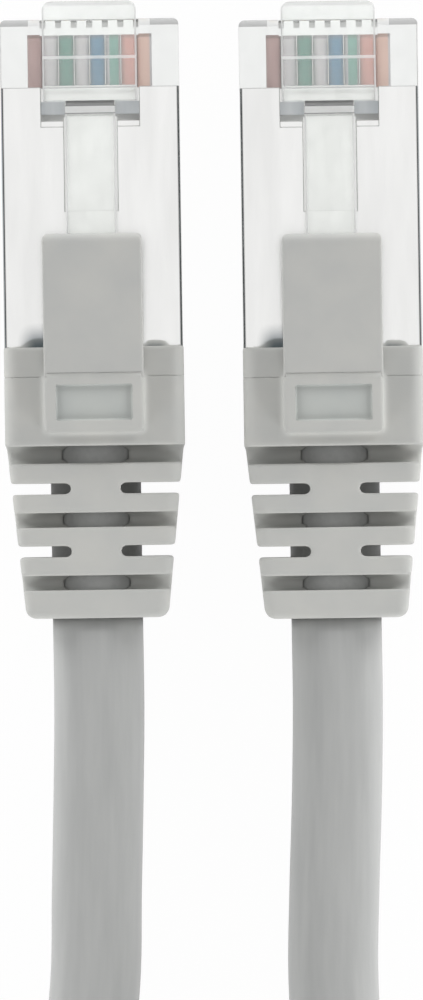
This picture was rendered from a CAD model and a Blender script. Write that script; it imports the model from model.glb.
"""Shielded network patch cable: a latched clear plug in a moulded grey boot at each end of one round cable.

Sizes are in millimetres, as in the part's source. Meshes are drawn in millimetres and scaled to metres last.
"""
import math
from contextlib import contextmanager

import bmesh
import bpy
from mathutils import Matrix, Vector


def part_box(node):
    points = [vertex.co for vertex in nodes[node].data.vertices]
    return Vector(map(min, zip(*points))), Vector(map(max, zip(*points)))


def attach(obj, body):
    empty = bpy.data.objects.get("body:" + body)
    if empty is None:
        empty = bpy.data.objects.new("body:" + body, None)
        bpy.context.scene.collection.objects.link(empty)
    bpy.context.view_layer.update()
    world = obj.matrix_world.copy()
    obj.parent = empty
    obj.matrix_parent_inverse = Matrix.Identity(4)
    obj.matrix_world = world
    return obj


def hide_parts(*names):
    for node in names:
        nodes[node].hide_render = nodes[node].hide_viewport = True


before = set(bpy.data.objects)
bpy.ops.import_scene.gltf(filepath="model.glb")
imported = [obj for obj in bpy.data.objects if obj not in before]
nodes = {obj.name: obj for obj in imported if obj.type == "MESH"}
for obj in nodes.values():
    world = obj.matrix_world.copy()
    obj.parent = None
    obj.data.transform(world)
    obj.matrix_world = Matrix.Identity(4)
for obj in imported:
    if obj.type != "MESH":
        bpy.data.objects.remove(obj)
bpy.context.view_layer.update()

MM = 0.001
ENDS = ("a", "b")
SIDE = {"a": -1, "b": 1}
PLUG_PITCH = 15.6

# Plug body
PLUG_W = 11.68
PLUG_H = 6.6
PLUG_L = 21.4
CLEAR_L = 4.45
RECESS_Z = 4.85
NOSE_L = 1.2
NOSE_R = 0.75
FRONT_R = 0.4
FRONT_EDGE_R = 0.6
COMB_W = 7.95
LATCH_W = 6.15
CREASE = (-2.5, 6.75)
BAR_Y = -4.43
SHOULDER = (-5.35, 7.95)
NECK = (-6.2, 6.95)
TAIL_W = 3.28
TAIL_L = 15.2
TAIL_R = 0.5
TAIL_SLOPE = 15.1
NOTCH_W = LATCH_W + 0.3
NOTCH_L = 2.2
CHANNEL_L = 5.9
CHANNEL_W = 3.5
CHANNEL_RISE = 0.4
SHIELD_T = 0.25
FOLD_R = 0.2
FIT = 0.02

# Latch
NOSE_LIFT = 0.05
NOSE_CORNER_R = 0.6
LATCH_EDGE_R = 0.11
SHOULDER_R = 0.06
# The crease's section: place and height from its root
CREASE_SECTION = ((0.1, -0.012), (0.05, 0.035), (-0.05, 0.06), (-0.1, 0.044))
# The underside behind the nose: place, and height above the recess's floor
LATCH_UNDER = ((-0.3, 0.35), (CREASE[0], 0.65), (SHOULDER[0], 1.25))
BAR_RISE = 0.35
BAR_RISE_L = 0.12
GROOVE_DEPTH = 0.4
TAIL_END_DEGREES = (20, 40, 60, 75, 88)

# The shield's top is rolled down at both sides of the latch cover: where each dent starts and stops across X,
# where it deepens and where the sheet turns dull along Y, and how deep and how dull it gets
LEFT_DENT_X = ((-5.2, -3.7), (-3, -2.5))
LEFT_DENT_Y = (-19.7, -21.9)
LEFT_DULL_Y = (-19.5, -21.5)
LEFT_DENT_DEPTH = 0.3
RIGHT_DENT_X = ((3.2, 3.6), (4.2, 5.1))
RIGHT_DENT_Y = (-20.9, -21.6)
RIGHT_DULL_Y = (-20.9, -21.5)
RIGHT_DENT_DEPTH = 0.16
RIGHT_DULLNESS = 0.7
FOLD_DULLNESS = 0.68
# The part of the top that is divided finely enough to take the dents
LEFT_CUTS_X = (-5.4, -2.6)
RIGHT_CUTS_X = (3.2, 5.2)
CUTS_Y = (-PLUG_L, -19.4)

# Wires and contacts
WIRES = ("white_orange", "orange", "white_green", "blue", "white_blue", "green", "white_brown", "brown")
LAST_PIN = len(WIRES) - 1
WIRE_PITCH = 1.02
WIRE_D = 0.98
WIRE_Z = 2.95
WIRE_START = 1.0
CONDUCTOR_BORE = 0.54
BUNDLE_PITCH = 1.02
FAN = (9.2, 12.2)
SPREAD = (11.6, 15.4)
WIRE_END = 15.55
LOAD_BAR_START = 5.5
LOAD_BAR_W = 9.0
BLADE_T = 0.3
BLADE_Y = (-4.2, -1.1)
SLOT_W = 0.62
SLOT_TOP = 1.94

# Boot
BLOCK_W = 11.73
SEAM_Y = (-23.38, -23.3)
SEAM_DEPTH = 0.06
SEAM_SIDE = 0.6
SEAM_TOP = (3.5, 7.5)
PANEL_W = 5
PANEL_Y = (-26.2, -23.85)
PANEL_Z = 9.05
PAD_Z = 9.3
COVER_W = 6.5
# The cover's hinge: its place, its height and the radius of its knuckle
COVER_HINGE = (-22.9, 8.69, 0.61)
LIP_L = 0.8
LIP_INSET = 0.3

# Cable
CABLE_D = 5.9
CABLE_R = CABLE_D / 2
CABLE_Z = 3.7
CORE_D = 4.3

# Cavity of the clear body
CAVITY_W = LOAD_BAR_W + 0.4
CAVITY_FLOOR_Z = WIRE_Z - 1.65
CAVITY_TOP_Z = RECESS_Z - 0.1
REAR_CAVITY_TOP_Z = CABLE_Z + CORE_D / 2 + 0.3
REAR_CAVITY_LEAD = 0.4

# Millimetres of a tube's length to one unit of its UVs
UV_SPAN = 100
# Distance at which points of a mesh are joined
MERGE = 0.002


def plug_origin(end):
    """Centre of a plug's front face, on the surface that the part lies on."""
    return Vector((SIDE[end] * PLUG_PITCH / 2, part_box(f"housing_{end}")[1].y / MM - NOSE_L, 0))


def boot_exit(end):
    """Where the cable leaves a boot: the rear end of the boot's node."""
    return Vector((SIDE[end] * PLUG_PITCH / 2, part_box(f"boot_{end}")[0].y / MM, CABLE_Z))


# ---------------------------------------------------------------- camera
VIEW_TALL = 65.41
VIEW_CENTRE = (-0.263, -12.44)
VIEW_LEAN = 0.86
LENS = 600
SENSOR = 36


def add_camera():
    data = bpy.data.cameras.new("camera")
    data.lens = LENS
    data.sensor_width = SENSOR
    data.clip_start = 0.01
    camera = bpy.data.objects.new("camera", data)
    height = VIEW_TALL * LENS / SENSOR + CABLE_Z
    camera.location = Vector((*VIEW_CENTRE, height)) * MM
    camera.rotation_euler = (0, 0, math.radians(-VIEW_LEAN))
    bpy.context.scene.collection.objects.link(camera)
    bpy.context.scene.camera = camera


# ---------------------------------------------------------------- mesh helpers
def object_from(name, mesh):
    piece = bpy.data.objects.new(name, mesh)
    bpy.context.scene.collection.objects.link(piece)
    return piece


def drawn(name, bm):
    """An object, still in millimetres, from a bmesh."""
    mesh = bpy.data.meshes.new(name)
    bmesh.ops.recalc_face_normals(bm, faces=bm.faces)
    bm.to_mesh(mesh)
    bm.free()
    return object_from(name, mesh)


def apply_modifiers(piece):
    bpy.context.view_layer.update()
    graph = bpy.context.evaluated_depsgraph_get()
    mesh = bpy.data.meshes.new_from_object(piece.evaluated_get(graph))
    piece.modifiers.clear()
    piece.data = mesh


def modify(piece, kind, **settings):
    modifier = piece.modifiers.new(kind.lower(), kind)
    for name, value in settings.items():
        setattr(modifier, name, value)
    apply_modifiers(piece)


def cut(piece, tool, operation="DIFFERENCE"):
    """Cuts the tool out of the piece, or joins it on, and removes the tool."""
    modify(piece, "BOOLEAN", object=tool, operation=operation, solver="EXACT")
    bpy.data.objects.remove(tool)


@contextmanager
def editing(piece):
    """A bmesh of a piece, written back to it at the end."""
    bm = bmesh.new()
    bm.from_mesh(piece.data)
    yield bm
    bm.to_mesh(piece.data)
    bm.free()


def divide(bm, at, normal):
    """Divides the faces that a plane crosses."""
    bmesh.ops.bisect_plane(bm, geom=[*bm.verts, *bm.edges, *bm.faces], plane_co=at, plane_no=normal)


def shade_smooth(piece):
    piece.data.polygons.foreach_set("use_smooth", [True] * len(piece.data.polygons))


def clean(piece, flat=0.5):
    """Joins split corners and melts the lines across faces that are flat to within an angle in degrees."""
    with editing(piece) as bm:
        bmesh.ops.remove_doubles(bm, verts=bm.verts, dist=MERGE)
        bmesh.ops.dissolve_limit(bm, angle_limit=math.radians(flat), verts=bm.verts, edges=bm.edges)


def bevel(piece, width, segments=2, angle=35):
    """Rounds the sharp edges, with the flat faces still shaded flat."""
    clean(piece)
    shade_smooth(piece)
    modify(
        piece, "BEVEL", width=width, segments=segments, limit_method="ANGLE",
        angle_limit=math.radians(angle), use_clamp_overlap=True, harden_normals=True,
    )


def even_shading(piece):
    """Keeps large flat faces shaded flat beside their rounded edges."""
    shade_smooth(piece)
    modify(piece, "WEIGHTED_NORMAL", mode="FACE_AREA", weight=80, keep_sharp=True)


def node_shape(node, name):
    """A copy of a CAD node's mesh in millimetres, with split corners joined."""
    mesh = nodes[node].data.copy()
    mesh.transform(Matrix.Scale(1 / MM, 4))
    piece = object_from(name, mesh)
    with editing(piece) as bm:
        bmesh.ops.remove_doubles(bm, verts=bm.verts, dist=MERGE)
    mesh.materials.clear()
    return piece


def moulded(piece, voxel, rounds):
    """Remeshes a closed shape and relaxes it, which rounds every edge as a soft moulding has them."""
    modify(piece, "REMESH", mode="VOXEL", voxel_size=voxel, use_smooth_shade=True)
    modify(piece, "SMOOTH", factor=0.5, iterations=rounds)
    shade_smooth(piece)


def place(piece, body, material, slot, *replaced):
    """Scales a piece from millimetres to metres and lets it stand for its CAD nodes."""
    piece.data.transform(Matrix.Scale(MM, 4))
    finishes = [face.material_index for face in piece.data.polygons]
    piece.data.materials.clear()
    for finish in material if isinstance(material, list) else [material]:
        piece.data.materials.append(finish)
    piece.data.polygons.foreach_set("material_index", finishes)
    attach(piece, body)
    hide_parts(*replaced)


def finish_faces(piece, slot, chosen):
    """Gives a material slot to the faces that a test of face centre and normal picks."""
    for face in piece.data.polygons:
        if chosen(face.center, face.normal):
            face.material_index = slot


def split_at(piece, x):
    """Divides the faces at a plane across X, so that materials can change there."""
    with editing(piece) as bm:
        divide(bm, (x, 0, 0), (1, 0, 0))


def copy_along(piece, name, offset):
    """A second object with the same mesh moved by an offset in millimetres."""
    mesh = piece.data.copy()
    mesh.transform(Matrix.Translation(offset))
    return object_from(name, mesh)


def add_slab(bm, w, y, z, x=0):
    """A box from its width, its spans along Y and Z, and the middle along X."""
    size = (w, y[1] - y[0], z[1] - z[0])
    centre = (x, (y[0] + y[1]) / 2, (z[0] + z[1]) / 2)
    bmesh.ops.create_cube(bm, size=1, matrix=Matrix.Translation(centre) @ Matrix.Diagonal((*size, 1)))


def slab(name, w, y, z, x=0):
    bm = bmesh.new()
    add_slab(bm, w, y, z, x)
    return drawn(name, bm)


def tube(name, path, radius, sides, bore=0):
    """A closed tube of rings along a path, with UVs that run round and along it. bore leaves it hollow."""
    last = len(path) - 1
    forward = [(path[min(i + 1, last)] - path[max(i - 1, 0)]).normalized() for i in range(last + 1)]
    up = Vector((0, 0, 1))
    bm = bmesh.new()
    uv = bm.loops.layers.uv.new("round_along")
    walls = [[] for _ in ((radius, bore) if bore else (radius,))]
    travelled = [0.0]
    for i, (centre, heading) in enumerate(zip(path, forward)):
        up = (up - heading * up.dot(heading)).normalized()
        across = heading.cross(up)
        for wall, r in zip(walls, (radius, bore)):
            angles = [2 * math.pi * k / sides for k in range(sides)]
            spokes = [math.cos(a) * up + math.sin(a) * across for a in angles]
            wall.append([bm.verts.new(centre + r * spoke) for spoke in spokes])
        if i:
            travelled.append(travelled[-1] + (centre - path[i - 1]).length)
    for wall in walls:
        for i in range(last):
            for k in range(sides):
                corners = ((k, i), (k, i + 1), (k + 1, i + 1), (k + 1, i))
                face = bm.faces.new([wall[j][a % sides] for a, j in corners])
                face.smooth = True
                for loop, (a, j) in zip(face.loops, corners):
                    loop[uv].uv = (a / sides, travelled[j] / UV_SPAN)
    for j in (0, last):
        if bore:
            outer, inner = (wall[j] for wall in walls)
            for k in range(sides):
                bm.faces.new([outer[k], outer[(k + 1) % sides], inner[(k + 1) % sides], inner[k]])
        else:
            bm.faces.new(walls[0][j])
    return drawn(name, bm)


def ease(t):
    u = min(1, max(0, t))
    return u * u * (3 - 2 * u)


def between(span, t):
    return ease((t - span[0]) / (span[1] - span[0]))


def mix(a, b, t):
    return a + (b - a) * t


# ---------------------------------------------------------------- cable route, as in the part's source
LEAD_A = [
    (-7.8, -26, 3.7), (-7.95, -32, 3.4), (-8.15, -38, 3), (-8.35, -44, 2.95), (-9.2, -50, 2.95),
    (-11.2, -55.5, 2.95), (-13.7, -60.5, 2.95), (-16.9, -65, 2.95), (-20.2, -69.6, 2.95),
    (-22.6, -74.5, 2.95), (-23.9, -79, 2.95), (-24.15, -83, 2.95),
]
LEAD_B = [
    (7.8, -26, 3.7), (7.65, -32, 3.3), (7.4, -38, 3), (7.25, -44, 3.1), (7.65, -49.5, 4.2),
    (9.2, -54.5, 6), (11.9, -59.3, 7.7), (15.5, -63.7, 8.8), (19.2, -68, 9.3),
    (22, -72.8, 9.4), (23.6, -78, 9.4), (24.15, -83, 9.4),
]
HANK_INNER_R = 17.7
HANK_STEP = 6.45
HANK_RUN = 39.5
HANK_FOLD_Y = 87
HANK_JOIN_Y = -84
WAIST_DRAW = 2
WAIST_LIFT = 0.75
TURN_LANES = (0, 1, 1, 0)
TURN_LAYERS = (0, 0, 1, 1)
LANE_CHANGE = (80, 180)
LAYER_CHANGE = (50, 130)
HANK_PARTS = 15
RUN_STEPS = 16
FOLD_STEPS = 28
LEAD_STEPS = 6


def lane_r(lane):
    return HANK_INNER_R + HANK_STEP * (1 - lane)


def layer_z(layer):
    return CABLE_R + HANK_STEP * layer


def run_point(side, turn, v):
    """A point along a run of the hank, drawn in and lifted at its waist by the tie."""
    waist = (1 - math.cos(2 * math.pi * v)) / 2
    x = side * (lane_r(TURN_LANES[turn]) - WAIST_DRAW * waist)
    y = -HANK_FOLD_Y - HANK_RUN * (v if side < 0 else 1 - v)
    return Vector((x, y, layer_z(TURN_LAYERS[turn]) + WAIST_LIFT * waist))


def fold_point(r, degrees, y, layer):
    a = math.radians(degrees)
    return Vector((r * math.cos(a), y + r * math.sin(a), layer_z(layer)))


def near_fold_point(turn, v):
    """A point on a near fold, which changes lane, climbs a layer, or changes lane back."""
    a = 180 * v
    lane = (between(LANE_CHANGE, a), 1, between(LANE_CHANGE, 180 - a))[turn]
    layer = (0, between(LAYER_CHANGE, a), 1)[turn]
    return fold_point(lane_r(lane), a, -HANK_FOLD_Y, layer)


def hank_point(part, v):
    turn, kind = divmod(part, 4)
    if kind == 0:
        return run_point(-1, turn, v)
    if kind == 1:
        far_y = -HANK_FOLD_Y - HANK_RUN
        return fold_point(lane_r(TURN_LANES[turn]), 180 + 180 * v, far_y, TURN_LAYERS[turn])
    if kind == 2:
        return run_point(1, turn, v)
    return near_fold_point(turn, v)


def hank_points():
    points = []
    for part in range(HANK_PARTS):
        steps = RUN_STEPS if part % 2 == 0 else FOLD_STEPS
        points += [hank_point(part, i / steps) for i in range(steps)]
    return points + [hank_point(HANK_PARTS - 1, 1)]


def smooth_curve(points, steps):
    """Points on a Catmull-Rom curve from the first of the given points to just before the last."""
    p = [Vector(q) for q in points]
    p = [2 * p[0] - p[1], *p, 2 * p[-1] - p[-2]]
    out = []
    for i in range(1, len(p) - 2):
        for k in range(steps):
            t = k / steps
            a = 2 * p[i]
            b = (p[i + 1] - p[i - 1]) * t
            c = (2 * p[i - 1] - 5 * p[i] + 4 * p[i + 1] - p[i + 2]) * t ** 2
            d = (3 * p[i] - p[i - 1] - 3 * p[i + 1] + p[i + 2]) * t ** 3
            out.append((a + b + c + d) / 2)
    return out


def cable_path():
    hank = hank_points()
    join_a = Vector((-lane_r(0), HANK_JOIN_Y, layer_z(0)))
    join_b = Vector((lane_r(0), HANK_JOIN_Y, layer_z(1)))
    lead_a = smooth_curve([boot_exit("a"), *LEAD_A, join_a, hank[0]], LEAD_STEPS)
    lead_b = smooth_curve([boot_exit("b"), *LEAD_B, join_b, hank[-1]], LEAD_STEPS)
    return [*lead_a, *hank, *reversed(lead_b)]


def add_cable():
    path = cable_path()
    cable = tube("cable", path, CABLE_R, 40)
    jacket = jacket_material("jacket_drawn", True)
    place(cable, "cable", jacket, "jacket", "cable_lead_a", "cable_lead_b", "cable_hank")


# ---------------------------------------------------------------- materials
def add_node(tree, kind, inputs=None, **settings):
    """Adds a shader node; inputs maps its sockets to values or to other nodes' outputs."""
    node = tree.nodes.new("ShaderNode" + kind)
    for name, value in settings.items():
        setattr(node, name, value)
    for name, value in (inputs or {}).items():
        if isinstance(value, bpy.types.NodeSocket):
            tree.links.new(value, node.inputs[name])
        else:
            node.inputs[name].default_value = value
    return node


def new_material(name, **sockets):
    """A material and its Principled node, with uniform values on the node's own sockets."""
    material = bpy.data.materials.new(name)
    material.use_nodes = True
    shader = material.node_tree.nodes["Principled BSDF"]
    for socket, value in sockets.items():
        shader.inputs[socket.replace("_", " ")].default_value = value
    return material, material.node_tree, shader


def place_in_mm(tree):
    """The object's own coordinates in millimetres."""
    return stretched(tree, add_node(tree, "TexCoord").outputs["Object"], (1000, 1000, 1000))


def stretched(tree, vector, scale):
    return add_node(tree, "VectorMath", {0: vector, 1: scale}, operation="MULTIPLY").outputs[0]


def calc(tree, operation, *values):
    """The result of a Math node."""
    return add_node(tree, "Math", dict(enumerate(values)), operation=operation).outputs[0]


def noise(tree, vector, scale, detail=2.0, roughness=0.5):
    inputs = {"Vector": vector, "Scale": scale, "Detail": detail, "Roughness": roughness}
    return add_node(tree, "TexNoise", inputs).outputs["Fac"]


def remap(tree, value, low, high, start=0.3, end=0.7):
    inputs = {"Value": value, "From Min": start, "From Max": end, "To Min": low, "To Max": high}
    return add_node(tree, "MapRange", inputs).outputs["Result"]


def blend_colour(tree, factor, a, b):
    node = add_node(tree, "Mix", data_type="RGBA")
    for name, value in (("Factor", factor), ("A", a), ("B", b)):
        socket = next(s for s in node.inputs if s.name == name and s.enabled)
        if isinstance(value, bpy.types.NodeSocket):
            tree.links.new(value, socket)
        else:
            socket.default_value = value if name == "Factor" else (*value, 1)
    return next(s for s in node.outputs if s.enabled)


def mottled(tree, pattern, a, b):
    """A colour that drifts between two with a pattern."""
    return blend_colour(tree, remap(tree, pattern, 0, 1), a, b)


def connect(tree, shader, **sources):
    for socket, source in sources.items():
        tree.links.new(source, shader.inputs[socket.replace("_", " ")])


def bump(tree, height, strength, distance):
    inputs = {"Height": height, "Strength": strength, "Distance": distance * MM}
    return add_node(tree, "Bump", inputs).outputs["Normal"]


def round_and_along(tree):
    """From a tube's UVs, the share of a turn round it as X and the way along it as Y."""
    uv = add_node(tree, "UVMap", uv_map="round_along").outputs["UV"]
    return add_node(tree, "SeparateXYZ", {"Vector": uv}).outputs


def around_tube(tree, turns, along):
    """A vector that runs round a tube without a seam."""
    place_on_tube = round_and_along(tree)
    angle = calc(tree, "MULTIPLY", place_on_tube["X"], 2 * math.pi)
    inputs = {"X": calc(tree, "COSINE", angle), "Y": calc(tree, "SINE", angle), "Z": place_on_tube["Y"]}
    return stretched(tree, add_node(tree, "CombineXYZ", inputs).outputs[0], (turns, turns, along))


def jacket_material(name, drawn_jacket, shade=1.0):
    """Satin PVC. A drawn jacket has faint streaks along it, left by the die."""
    material, tree, shader = new_material(
        name, Specular_IOR_Level=0.45, Sheen_Weight=0.25, Sheen_Roughness=0.5,
    )
    where = around_tube(tree, 1.6, 6) if drawn_jacket else place_in_mm(tree)
    streaks = noise(tree, where, 2.2, 3)
    grain = noise(tree, place_in_mm(tree), 5, 3)
    shades = ((0.36, 0.365, 0.36), (0.405, 0.41, 0.403))
    darker, lighter = (tuple(shade * c for c in rgb) for rgb in shades)
    connect(
        tree, shader, Base_Color=mottled(tree, streaks, darker, lighter),
        Roughness=remap(tree, streaks, 0.38, 0.5),
        Normal=bump(tree, grain, 0.12, 0.05),
    )
    return material


def boot_material(name, tint=(1, 1, 1)):
    """Satin PVC with the fine grain of a spark-eroded mould."""
    material, tree, shader = new_material(name, Specular_IOR_Level=0.4)
    where = place_in_mm(tree)
    cloud = noise(tree, where, 0.35, 3)
    grain = noise(tree, where, 9, 2)
    shades = ((0.475, 0.48, 0.465), (0.515, 0.515, 0.492))
    darker, lighter = (tuple(c * t for c, t in zip(rgb, tint)) for rgb in shades)
    connect(
        tree, shader, Base_Color=mottled(tree, cloud, darker, lighter),
        Roughness=remap(tree, grain, 0.44, 0.54),
        Normal=bump(tree, grain, 0.12, 0.04),
    )
    return material


def let_light_through(material, share):
    """Lets the lamps reach what a clear piece holds."""
    tree = material.node_tree
    shader = tree.nodes["Principled BSDF"]
    lamps = add_node(tree, "LightPath").outputs["Is Shadow Ray"]
    clear = add_node(tree, "BsdfTransparent", {"Color": (share, share, share, 1)})
    both = add_node(tree, "MixShader", {0: lamps, 1: shader.outputs[0], 2: clear.outputs[0]})
    tree.links.new(both.outputs[0], tree.nodes["Material Output"].inputs["Surface"])


def clear_material(name, roughness, haze, ior=1.45, clearness=0.88):
    """Clear polycarbonate with the slight haze of a thick moulding."""
    material, tree, shader = new_material(name, Transmission_Weight=1 - haze, IOR=ior, Roughness=roughness)
    flow = noise(tree, place_in_mm(tree), 0.8, 2)
    steps = (-0.02, 0.02)
    darker, lighter = ((clearness + step, clearness + 0.01 + step, clearness + step) for step in steps)
    colour = mottled(tree, flow, darker, lighter)
    connect(tree, shader, Base_Color=colour, Normal=bump(tree, flow, 0.05, 0.1))
    let_light_through(material, 0.94)
    return material


def frosted_material(name, grey, haze):
    """The matt edges of a clear moulding, where the mould was parted or left unpolished."""
    material, tree, shader = new_material(name, Transmission_Weight=1 - haze, IOR=1.2, Roughness=0.4)
    grain = noise(tree, place_in_mm(tree), 3, 3)
    colour = mottled(tree, grain, (0.95 * grey, 0.96 * grey, 0.95 * grey), (grey, grey, grey))
    connect(tree, shader, Base_Color=colour, Normal=bump(tree, grain, 0.1, 0.03))
    let_light_through(material, 0.9)
    return material


def shield_material(name, shades, roughness, metallic=1.0):
    """Nickel-plated sheet, faintly clouded along the way it was drawn, and dull where it is bent."""
    material, tree, shader = new_material(name, Metallic=metallic)
    where = place_in_mm(tree)
    cloud = noise(tree, stretched(tree, where, (1, 0.16, 1)), 0.7, 3)
    brushed = noise(tree, stretched(tree, where, (1, 0.04, 1)), 14, 2)
    bend = add_node(tree, "Attribute", attribute_name="bend").outputs["Fac"]
    bright = mottled(tree, cloud, *shades)
    dulled = remap(tree, bend, 0, 1, 0.05, 0.95)
    connect(
        tree, shader, Base_Color=blend_colour(tree, dulled, bright, (0.17, 0.20, 0.22)),
        Roughness=remap(tree, cloud, *roughness), Normal=bump(tree, brushed, 0.06, 0.02),
    )
    return material


def metal_material(name, colour, rough, fleck=0.06):
    material, tree, shader = new_material(name, Metallic=1.0)
    where = place_in_mm(tree)
    marks = noise(tree, stretched(tree, where, (1, 0.2, 1)), 6, 3)
    darker = tuple(c * (1 - fleck) for c in colour)
    connect(
        tree, shader, Base_Color=mottled(tree, marks, darker, colour),
        Roughness=remap(tree, marks, rough, rough + 0.12), Normal=bump(tree, marks, 0.1, 0.02),
    )
    return material


def braid_material():
    """Fine tinned strands that cross in two directions."""
    material, tree, shader = new_material("tinned_strands", Metallic=1.0)
    where = place_in_mm(tree)
    waves = []
    for lean in (1, -1):
        inputs = {"Vector": where, "Angle": lean * math.radians(35)}
        turned = add_node(tree, "VectorRotate", inputs, rotation_type="Z_AXIS").outputs[0]
        inputs = {"Vector": turned, "Scale": 1.2, "Distortion": 0.4}
        waves.append(add_node(tree, "TexWave", inputs).outputs["Fac"])
    weave = calc(tree, "MAXIMUM", *waves)
    colour = blend_colour(tree, weave, (0.42, 0.41, 0.39), (0.78, 0.76, 0.72))
    connect(
        tree, shader, Base_Color=colour, Roughness=remap(tree, weave, 0.5, 0.3),
        Normal=bump(tree, weave, 0.8, 0.08),
    )
    return material


WIRE_RGB = {
    "orange": (0.63, 0.27, 0.22), "green": (0.015, 0.20, 0.14), "blue": (0.004, 0.165, 0.31),
    "brown": (0.49, 0.34, 0.325),
}
PALE = (0.54, 0.51, 0.53)
# The stripe of each striped wire: where it faces, in turns from the top, how wide it is, and its colour
STRIPES = {
    "white_orange": (0.04, 0.34, (0.71, 0.50, 0.43)), "white_green": (0.97, 0.22, (0.09, 0.31, 0.245)),
    "white_blue": (0.45, 0.2, (0.10, 0.25, 0.36)), "white_brown": (0.55, 0.2, (0.38, 0.28, 0.26)),
}

# Where the darker cut end of a wire fades out along it
CUT_END = (0.18, 0.26)


def wire_material(name):
    """Polyethylene insulation, plain or pale with one stripe."""
    material, tree, shader = new_material(f"insulation_{name}", Roughness=0.42)
    grain = noise(tree, place_in_mm(tree), 6, 2)
    place_on_wire = round_and_along(tree)
    if name in STRIPES:
        middle, width, hue = STRIPES[name]
        wrapped = calc(tree, "FRACT", calc(tree, "ADD", place_on_wire["X"], 1.5 - middle))
        away = calc(tree, "ABSOLUTE", calc(tree, "SUBTRACT", wrapped, 0.5))
        stripe = remap(tree, away, 1, 0, width / 2 - 0.02, width / 2 + 0.02)
        colour = blend_colour(tree, stripe, PALE, hue)
    else:
        hue = WIRE_RGB[name]
        colour = mottled(tree, grain, tuple(0.93 * c for c in hue), hue)
    cut_end = remap(tree, place_on_wire["Y"], 0.55, 1, CUT_END[0] / UV_SPAN, CUT_END[1] / UV_SPAN)
    colour = blend_colour(tree, cut_end, (0.1, 0.08, 0.07), colour)
    connect(tree, shader, Base_Color=colour, Normal=bump(tree, grain, 0.1, 0.03))
    return material


def tie_material():
    """Black nylon with a fine moulded grain."""
    material, tree, shader = new_material("tie_nylon", Base_Color=(0.022, 0.022, 0.024, 1), Roughness=0.46)
    grain = noise(tree, place_in_mm(tree), 4, 3)
    colour = mottled(tree, grain, (0.018, 0.018, 0.02), (0.03, 0.03, 0.033))
    connect(tree, shader, Base_Color=colour, Normal=bump(tree, grain, 0.25, 0.08))
    return material


# ---------------------------------------------------------------- plug pieces, in a plug's own frame
def prism(name, outline, span, axis):
    """A prism from an outline. axis Z takes [x, y] points, and axis X takes [y, z] points."""
    bm = bmesh.new()
    lift = (lambda p, h: (p[0], p[1], h)) if axis == "Z" else (lambda p, h: (h, p[0], p[1]))
    low, high = ([bm.verts.new(lift(p, h)) for p in outline] for h in span)
    bm.faces.new(low)
    bm.faces.new(high)
    for k in range(len(outline)):
        after = (k + 1) % len(outline)
        bm.faces.new([low[k], low[after], high[after], high[k]])
    return drawn(name, bm)


def plate_outline(w, y, r, steps=6):
    """Seen from above, a plate whose two corners toward the nose are round."""
    quarter = [math.radians(90 * k / steps) for k in range(steps + 1)]
    right = [(w / 2 - r + r * math.cos(a), y[1] - r + r * math.sin(a)) for a in quarter]
    left = [(-x, v) for x, v in reversed(right)]
    return [(w / 2, y[0]), *right, *left, (-w / 2, y[0])]


def front_profile():
    """The clear front seen from the side, with its front face's top and bottom edges rounded."""
    r = FRONT_EDGE_R
    turns = [math.radians(15 * k) for k in range(7)]
    top = [(-r + r * math.sin(a), PLUG_H - r + r * math.cos(a)) for a in turns]
    return [(-CLEAR_L, 0), (-CLEAR_L, PLUG_H), *top, *((y, PLUG_H - z) for y, z in reversed(top))]


def row_x(pin):
    """Where a wire lies across the plug's front."""
    return (LAST_PIN / 2 - pin) * WIRE_PITCH


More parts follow.
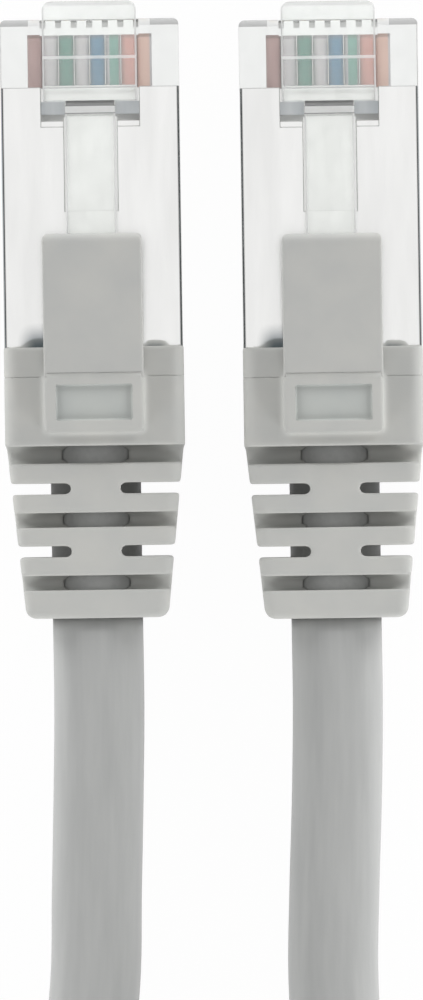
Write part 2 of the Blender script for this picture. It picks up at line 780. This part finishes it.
def housing_shape():
    """The clear body, with its latch recess, nose lug, contact slots, wire channel and cavity."""
    shell_w = PLUG_W - 2 * (SHIELD_T + FIT)
    shell_z = (SHIELD_T + FIT, PLUG_H - SHIELD_T - FIT)
    pan_w = NOTCH_W + 2 * (SHIELD_T + FIT)
    pan_y = -CLEAR_L - NOTCH_L - SHIELD_T - FIT
    trough_w = CHANNEL_W + 2 * (SHIELD_T + FIT)
    trough_y = pan_y - CHANNEL_L
    wires_w = LAST_PIN * WIRE_PITCH + WIRE_D + FIT
    wires_z = (WIRE_Z - WIRE_D / 2 - FIT, WIRE_Z + WIRE_D / 2 + FIT)
    body = prism("housing_a", plate_outline(PLUG_W, (-CLEAR_L, 0), FRONT_R), (0, PLUG_H), "Z")
    cut(body, prism("tool", front_profile(), (-PLUG_W, PLUG_W), "X"), "INTERSECT")
    bevel(body, 0.1, angle=50)
    cut(body, slab("tool", shell_w, (-PLUG_L + SHIELD_T + FIT, -CLEAR_L / 2), shell_z), "UNION")
    lug_outline = plate_outline(LATCH_W, (-CLEAR_L / 2, NOSE_L), NOSE_CORNER_R)
    lug = prism("tool", lug_outline, (RECESS_Z - 1.5, RECESS_Z), "Z")
    bevel(lug, 0.12, angle=50)
    cut(body, lug, "UNION")
    for tool in (
        slab("tool", NOTCH_W, (-CLEAR_L - FIT, NOSE_L + 1), (RECESS_Z, PLUG_H + 1)),
        slab("tool", pan_w, (pan_y, -CLEAR_L), (RECESS_Z - FIT, PLUG_H + 1)),
        slab("tool", trough_w, (trough_y, pan_y + 0.1), (RECESS_Z + CHANNEL_RISE - FIT, PLUG_H + 1)),
        slab("tool", wires_w, (-LOAD_BAR_START, -WIRE_START), wires_z),
        slab("tool", CAVITY_W, (-PLUG_L, -LOAD_BAR_START), (CAVITY_FLOOR_Z, CAVITY_TOP_Z)),
        slab("tool", CAVITY_W, (-PLUG_L, trough_y - REAR_CAVITY_LEAD), (CAVITY_FLOOR_Z, REAR_CAVITY_TOP_Z)),
    ):
        cut(body, tool)
    for pin in range(len(WIRES)):
        x = row_x(pin)
        cut(body, slab("tool", SLOT_W, (BLADE_Y[0] - FIT, 1), (-1, SLOT_TOP), x))
        cut(body, slab("tool", BLADE_T + 2 * FIT, (BLADE_Y[0] - FIT, BLADE_Y[1] + FIT), (0.1, WIRE_Z), x))
    return body


def arc(centre, r, start, end, steps):
    turns = [math.radians(mix(start, end, i / steps)) for i in range(steps + 1)]
    return [(centre[0] + r * math.cos(a), centre[1] + r * math.sin(a)) for a in turns]


def height_at(points, y):
    """Height at y on a line through [y, z] points that run toward -Y."""
    for (y0, z0), (y1, z1) in zip(points, points[1:]):
        if y >= y1:
            return mix(z0, z1, (y0 - y) / (y0 - y1))
    return points[-1][1]


def loft(name, stations, r, steps=3):
    """A closed bar along Y with round edges. A station is its place, underside, top and half its width."""
    quarters = ((1, 1), (-1, 1), (-1, -1), (1, -1))
    bm = bmesh.new()
    rings = []
    for y, low, high, half in stations:
        corner = min(r, 0.49 * (high - low))
        ring = []
        for turn, (side, upward) in enumerate(quarters):
            level = high - corner if upward > 0 else low + corner
            for x, z in arc((side * (half - corner), level), corner, 90 * turn, 90 * turn + 90, steps):
                ring.append(bm.verts.new((x, y, z)))
        rings.append(ring)
    for ring, after in zip(rings, rings[1:]):
        for k in range(len(ring)):
            j = (k + 1) % len(ring)
            bm.faces.new([ring[k], ring[j], after[j], after[k]])
    for ring in (rings[0], rings[-1]):
        bm.faces.new(ring)
    bmesh.ops.remove_doubles(bm, verts=bm.verts, dist=0.001)
    bmesh.ops.dissolve_degenerate(bm, edges=bm.edges, dist=0.0005)
    return drawn(name, bm)


def latch_shape():
    """The latch: round nose, face with a raised crease, thick bar with shoulders, neck and sloping tail."""
    hinge = (NOSE_L - NOSE_R, RECESS_Z + NOSE_LIFT + NOSE_R)
    (crease_y, crease_z), (back, top) = CREASE, SHOULDER
    half = LATCH_W / 2
    under = [(hinge[0], hinge[1] - NOSE_R), *((y, RECESS_Z + z) for y, z in LATCH_UNDER)]
    over = [
        (hinge[0], hinge[1] + NOSE_R), *((crease_y + y, crease_z + z) for y, z in CREASE_SECTION),
        (BAR_Y, top - BAR_RISE), (BAR_Y - BAR_RISE_L, top), (back, top),
    ]
    head = []
    for y, high in arc(hinge, NOSE_R, 0, 90, 10):
        corner = math.sqrt(max(0, NOSE_CORNER_R ** 2 - max(0, y - NOSE_L + NOSE_CORNER_R) ** 2))
        head.append((y, 2 * hinge[1] - high, high, half - NOSE_CORNER_R + corner))
    places = sorted({*(y for y, z in over[1:-1]), LATCH_UNDER[0][0], back + 0.08}, reverse=True)
    head += [(y, height_at(under, y), height_at(over, y), half) for y in places]
    head.append((back, height_at(under, back) + SHOULDER_R, top - SHOULDER_R, half - SHOULDER_R))
    latch = loft("latch", head, LATCH_EDGE_R)
    rise = math.tan(math.radians(TAIL_SLOPE))
    offset = TAIL_R / math.cos(math.radians(TAIL_SLOPE))
    end_y = -TAIL_L + TAIL_R
    end_z = NECK[1] + (NECK[0] - end_y) * rise
    neck_top = NECK[1] + TAIL_R
    groove = neck_top - GROOVE_DEPTH
    over = [(back + 0.4, groove), (back - 0.3, groove), (back - 0.36, neck_top), (NECK[0] + 0.06, neck_top)]
    bar_floor = RECESS_Z + LATCH_UNDER[-1][1]
    under = [(back + 0.4, RECESS_Z + 1.3), (back, bar_floor), (NECK[0], NECK[1] - TAIL_R)]
    over += [(y, NECK[1] + (NECK[0] - y) * rise + offset) for y in (NECK[0] + 0.01, end_y)]
    under += [(y, NECK[1] + (NECK[0] - y) * rise - offset) for y in (NECK[0] - 0.13, end_y)]
    places = sorted({y for y, z in over + under}, reverse=True)
    tail = [(y, height_at(under, y), height_at(over, y), TAIL_W / 2) for y in places]
    for degrees in TAIL_END_DEGREES:
        a = math.radians(degrees)
        y = end_y - TAIL_R * math.sin(a)
        z = end_z + TAIL_R * math.sin(a) * rise * math.cos(a)
        tail.append((y, z - TAIL_R * math.cos(a), z + TAIL_R * math.cos(a), TAIL_W / 2))
    cut(latch, loft("tail", tail, LATCH_EDGE_R), "UNION")
    even_shading(latch)
    return latch


def wire_path(pin):
    """From the front of the plug, where the wires lie in a row, back to the two rows on the screened core."""
    bundle_x = (1.5 - pin // 2) * BUNDLE_PITCH
    bundle_z = CABLE_Z + BUNDLE_PITCH / 2 * (1 if pin % 2 == 0 else -1)
    stations = [WIRE_START, *[mix(FAN[0], SPREAD[1], i / 18) for i in range(19)], WIRE_END]
    return [
        Vector((mix(row_x(pin), bundle_x, between(SPREAD, s)), -s, mix(WIRE_Z, bundle_z, between(FAN, s))))
        for s in stations
    ]


def add_pair(shape, node, material, slot, body="cable"):
    """Places a piece of the left plug and its copy in the right one, each for its own CAD node."""
    twin = copy_along(shape, f"{node}_b_piece", plug_origin("b") - plug_origin("a"))
    shape.name = f"{node}_a_piece"
    for end, piece in (("a", shape), ("b", twin)):
        place(piece, f"{body}_{end}" if body != "cable" else body, material, slot, f"{node}_{end}")


def at_plug_a(piece):
    piece.data.transform(Matrix.Translation(plug_origin("a")))
    return piece


def on_fold(point):
    """Whether a point of the shield lies on one of the four long folds of its box."""
    return PLUG_W / 2 - abs(point.x) < 0.01 and min(point.z, PLUG_H - point.z) < 0.01


def dent(spans, x):
    """How far a dent is open at x, from 0 beside it to 1 along its middle."""
    return between(spans[0], x) * (1 - between(spans[1], x))


def add_shield():
    """The stamped shield. Its top rolls down at both sides of the latch cover, where the boot grips it."""
    origin = plug_origin("a")
    shield = node_shape("shield_a", "shield")
    clean(shield)
    with editing(shield) as bm:
        long_edges = [
            edge for edge in bm.edges
            if edge.calc_length() > 8 and all(on_fold(vert.co - origin) for vert in edge.verts)
        ]
        bmesh.ops.bevel(
            bm, geom=long_edges, offset=FOLD_R, segments=4, profile=0.5, affect="EDGES", clamp_overlap=False,
        )
    bevel(shield, 0.05)
    planes = [(Vector((1, 0, 0)), mix(*LEFT_CUTS_X, i / 14)) for i in range(1, 14)]
    planes += [(Vector((1, 0, 0)), mix(*RIGHT_CUTS_X, i / 10)) for i in range(1, 10)]
    planes += [(Vector((1, 0, 0)), side * TAIL_W / 2) for side in (-1, 1)]
    planes += [(Vector((0, 1, 0)), mix(*CUTS_Y, i / 20)) for i in range(1, 20)]
    planes.append((Vector((0, 1, 0)), SHOULDER[0]))
    with editing(shield) as bm:
        for normal, distance in planes:
            divide(bm, origin + normal * distance, normal)
        bend = bm.verts.layers.float.new("bend")
        for vert in bm.verts:
            x, y, z = vert.co - origin
            if z > PLUG_H - 1.2 * SHIELD_T and y > -PLUG_L - 0.01:
                left = dent(LEFT_DENT_X, x)
                right = dent(RIGHT_DENT_X, x)
                left_drop = LEFT_DENT_DEPTH * left * between(LEFT_DENT_Y, y) ** 1.5
                right_drop = RIGHT_DENT_DEPTH * right * between(RIGHT_DENT_Y, y)
                vert.co.z -= left_drop + right_drop
                right_bend = RIGHT_DULLNESS * right * between(RIGHT_DULL_Y, y)
                vert[bend] = left * between(LEFT_DULL_Y, y) + right_bend
            if PLUG_W / 2 - abs(x) < 0.72 * FOLD_R and min(z, PLUG_H - z) < FOLD_R:
                vert[bend] = FOLD_DULLNESS
    even_shading(shield)

    def in_pan(centre, normal):
        x, y, z = centre - origin
        return y > -CLEAR_L - NOTCH_L - 0.02 and RECESS_Z < z < PLUG_H - 0.1 and abs(x) < NOTCH_W / 2 + 0.02

    def is_open_floor(centre, normal):
        x, y, _ = centre - origin
        return in_pan(centre, normal) and y < SHOULDER[0] and abs(x) > TAIL_W / 2 and normal.z > 0.9

    def is_rise(centre, normal):
        return in_pan(centre, normal) and 0.02 < normal.z < 0.9 and normal.y > 0.3

    finish_faces(shield, 1, is_open_floor)
    finish_faces(shield, 2, is_rise)
    finishes = [
        shield_material("nickel_sheet", ((0.86, 0.86, 0.85), (0.94, 0.94, 0.93)), (0.14, 0.22)),
        shield_material("nickel_in_shade", ((0.45, 0.48, 0.50), (0.62, 0.64, 0.65)), (0.3, 0.4)),
        shield_material("nickel_rise", ((0.44, 0.44, 0.43), (0.50, 0.50, 0.49)), (0.4, 0.5), 0.3),
    ]
    add_pair(shield, "shield", finishes, "nickel_shield")


def add_latch():
    """The latch, with matt edges, crease and ledge, and a dull groove behind its bar."""
    latch = at_plug_a(latch_shape())
    origin = plug_origin("a")

    def is_edge(centre, normal):
        return 0.1 < abs(normal.x) < 0.97 or 0.55 < normal.y and abs(normal.z) > 0.1

    def is_crease_or_ledge(centre, normal):
        y, z = centre.y - origin.y, centre.z
        ledge = NECK[0] + 0.05 < y < SHOULDER[0] - 0.34 and abs(z - NECK[1] - TAIL_R) < 0.03
        return normal.z > 0.5 and (abs(y - CREASE[0]) < 0.11 or ledge)

    def is_groove(centre, normal):
        y, z = centre.y - origin.y, centre.z
        low, high = SHOULDER[1] - 0.92, SHOULDER[1] - 0.52
        behind_bar = low < z < high and SHOULDER[0] - 0.38 < y < SHOULDER[0] + 0.02
        return normal.z > -0.2 and (behind_bar or abs(y - NECK[0] - 0.035) < 0.03 and z > NECK[1])

    for slot, chosen in enumerate((is_edge, is_crease_or_ledge, is_groove), 1):
        finish_faces(latch, slot, chosen)
    finishes = [
        clear_material("clear_latch", 0.05, 0.08, 1.18, 0.97), frosted_material("latch_edges", 0.68, 0.6),
        frosted_material("crease", 0.95, 0.5), frosted_material("groove", 0.27, 0.9),
    ]
    add_pair(latch, "latch", finishes, "clear_latch", "latch")


def add_plugs():
    """The clear bodies with their matt edges, blocks and lugs, then the latches, shields and wires."""
    housing = at_plug_a(housing_shape())
    origin = plug_origin("a")
    for side in (-1, 1):
        split_at(housing, origin.x + side * COMB_W / 2)

    def is_slanted(centre, normal):
        return max(abs(c) for c in normal) < 0.985

    def is_block_edge(centre, normal):
        x, y, _ = centre - origin
        return abs(x) > COMB_W / 2 and y > -FRONT_EDGE_R - 0.05 and normal.y > 0.15 and normal.z > 0.1

    def is_lug(centre, normal):
        return (centre - origin).y > 0.02

    for slot, chosen in enumerate((is_slanted, is_block_edge, is_lug), 1):
        finish_faces(housing, slot, chosen)
    finishes = [
        clear_material("clear_body", 0.04, 0.03), frosted_material("body_edges", 0.72, 0.6),
        frosted_material("block_edges", 0.45, 0.92), frosted_material("matt_lug", 0.98, 0.75),
    ]
    add_pair(housing, "housing", finishes, "clear_plastic")
    add_latch()
    add_shield()
    for pin, name in enumerate(WIRES):
        wire = at_plug_a(tube("wire", wire_path(pin), WIRE_D / 2, 24, CONDUCTOR_BORE / 2))
        add_pair(wire, f"wire_{pin + 1}_{name}", wire_material(name), f"wire_{name}")


def add_boots():
    """The boots, with a parting line, a sunk panel and a lip up to the cover's knuckle, and the covers."""
    origin = plug_origin("a")
    boot = node_shape("boot_a", "boot")
    whole = slab("tool", PANEL_W + 0.2, (PANEL_Y[0] - 0.1, PANEL_Y[1] + 0.1), (PANEL_Z - 0.3, PAD_Z))
    whole.data.transform(Matrix.Translation(origin))
    cut(boot, whole, "UNION")
    moulded(boot, voxel=0.13, rounds=5)
    middle = sum(SEAM_Y) / 2
    top_x, top_z = SEAM_TOP
    with editing(boot) as bm:
        for y in (*SEAM_Y, middle):
            divide(bm, Vector((0, origin.y + y, 0)), (0, 1, 0))
        bm.normal_update()
        for vert in bm.verts:
            x, y, z = vert.co - origin
            on_seam = abs(x) > BLOCK_W / 2 - SEAM_SIDE or abs(x) > top_x and z > top_z
            if abs(y - middle) < 0.005 and on_seam:
                vert.co -= SEAM_DEPTH * vert.normal
    panel = slab("tool", PANEL_W, PANEL_Y, (PANEL_Z, PAD_Z + 1))
    bevel(panel, 0.12)
    panel.data.transform(Matrix.Translation(origin))
    cut(boot, panel)
    hinge_y, hinge_z, knuckle_r = COVER_HINGE
    lip = slab("tool", COVER_W - LIP_INSET, (hinge_y - LIP_L, hinge_y), (hinge_z, PAD_Z - FIT))
    knuckle_outline = arc((hinge_y, hinge_z), knuckle_r + FIT, 0, 345, 23)
    knuckle = prism("knuckle", knuckle_outline, (-COVER_W, COVER_W), "X")
    cut(lip, knuckle)
    lip.data.transform(Matrix.Translation(origin))
    cut(boot, lip, "UNION")
    shade_smooth(boot)

    def in_panel(centre, normal):
        x, y, z = centre - origin
        return abs(x) < PANEL_W / 2 and PANEL_Y[0] < y < PANEL_Y[1] and PANEL_Z - 0.1 < z < PAD_Z - 0.07

    finish_faces(boot, 1, in_panel)
    finishes = [boot_material("boot_pvc"), boot_material("panel_pvc", (0.95, 0.985, 0.99))]
    add_pair(boot, "boot", finishes, "boot_plastic")
    cover = node_shape("latch_cover_a", "cover")
    moulded(cover, voxel=0.1, rounds=6)
    cover_pvc = boot_material("cover_pvc", (0.96, 0.96, 0.965))
    add_pair(cover, "latch_cover", cover_pvc, "boot_plastic", "latch_cover")


def add_ties():
    ties = node_shape("hank_ties", "cable_ties")
    bevel(ties, 0.14, segments=3)
    place(ties, "cable", tie_material(), "tie", "hank_ties")


def dress_cad_nodes():
    """Materials for the CAD pieces whose own shape is kept."""
    kept = {
        "contacts": metal_material("contact_gold", (0.90, 0.66, 0.28), 0.16),
        "load_bar": clear_material("clear_bar", 0.2, 0.1),
        "conductors": metal_material("bare_copper", (0.83, 0.45, 0.28), 0.25),
        "screened_core": metal_material("foil_wrap", (0.86, 0.87, 0.88), 0.22, 0.2),
        "braid": braid_material(),
        "jacket_end": jacket_material("jacket_in_boot", False, 1.2),
    }
    for part, material in kept.items():
        for end in ENDS:
            mesh = nodes[f"{part}_{end}"].data
            mesh.materials.clear()
            mesh.materials.append(material)


# ---------------------------------------------------------------- stage
def seen_rays(tree):
    """1 for rays from the camera, also by way of a mirror or glass, and 0 for those that light a surface."""
    path = add_node(tree, "LightPath")
    value = path.outputs["Is Camera Ray"]
    for name in ("Is Glossy Ray", "Is Transmission Ray"):
        value = calc(tree, "MAXIMUM", value, path.outputs[name])
    return value


FLOOR_GLOW = 0.975
WORLD_LIGHT = 0.53
# Low soft lamps round the object: the direction in degrees from +X toward +Y, and the light on a level face
LAMPS = {
    "north_east": (45, 0.165), "north_west": (135, 0.135),
    "south_west": (225, 0.105), "south_east": (315, 0.13),
}
LAMP_RISE = 15
LAMP_AWAY = 320
LAMP_SIZE = 180


def add_floor():
    bm = bmesh.new()
    bmesh.ops.create_grid(bm, x_segments=1, y_segments=1, size=1500)
    floor = drawn("floor", bm)
    floor.data.transform(Matrix.Translation((0, 0, -0.05)))
    floor.data.transform(Matrix.Scale(MM, 4))
    material, tree, shader = new_material("white_floor", Base_Color=(0.86, 0.86, 0.86, 1), Roughness=0.9)
    glow = add_node(tree, "Emission", {"Color": (1, 1, 1, 1), "Strength": 1.0})
    share = calc(tree, "MULTIPLY", seen_rays(tree), FLOOR_GLOW)
    both = add_node(tree, "MixShader", {0: share, 1: shader.outputs[0], 2: glow.outputs[0]})
    tree.links.new(both.outputs[0], tree.nodes["Material Output"].inputs["Surface"])
    floor.data.materials.append(material)


def add_world():
    """A white surround that lights evenly. Metal and glass see its sides turned down, as in a light tent."""
    world = bpy.data.worlds.new("tent")
    world.use_nodes = True
    tree = world.node_tree
    background = tree.nodes["Background"]
    direction = add_node(tree, "TexCoord").outputs["Generated"]
    up = add_node(tree, "SeparateXYZ", {"Vector": direction}).outputs["Z"]
    rays = add_node(tree, "LightPath").outputs
    strength = WORLD_LIGHT
    for ray, tent in (
        ("Is Glossy Ray", remap(tree, up, 0.1, 0.95, 0.35, 0.85)),
        ("Is Transmission Ray", remap(tree, up, 0.5, 1.0, 0.1, 0.7)),
        ("Is Camera Ray", 1.0),
    ):
        inputs = {"Factor": rays[ray], "A": strength, "B": tent}
        strength = add_node(tree, "Mix", inputs).outputs["Result"]
    tree.links.new(strength, background.inputs["Strength"])
    background.inputs["Color"].default_value = (1, 1, 1, 1)
    bpy.context.scene.world = world


def add_lamp(name, azimuth, share):
    """A disk lamp that gives a level face its share of the light under which a colour renders as written.

    Metal and glass mirror the tent alone, so the lamps lay no glare on them.
    """
    turn, rise, away = math.radians(azimuth), math.radians(LAMP_RISE), LAMP_AWAY * MM
    toward = Vector((math.cos(rise) * math.cos(turn), math.cos(rise) * math.sin(turn), math.sin(rise)))
    data = bpy.data.lights.new(name, "AREA")
    data.shape = "DISK"
    data.size = LAMP_SIZE * MM
    data.energy = share * (math.pi * away) ** 2 / math.sin(rise)
    lamp = bpy.data.objects.new(name, data)
    lamp.location = toward * away
    lamp.rotation_euler = toward.to_track_quat("Z", "Y").to_euler()
    lamp.visible_glossy = False
    lamp.visible_transmission = False
    bpy.context.scene.collection.objects.link(lamp)


def add_stage():
    add_floor()
    add_world()
    for name, (azimuth, share) in LAMPS.items():
        add_lamp(name, azimuth, share)
    bpy.context.scene.view_settings.view_transform = "Standard"


add_camera()
add_ties()
add_cable()
add_plugs()
add_boots()
dress_cad_nodes()
add_stage()
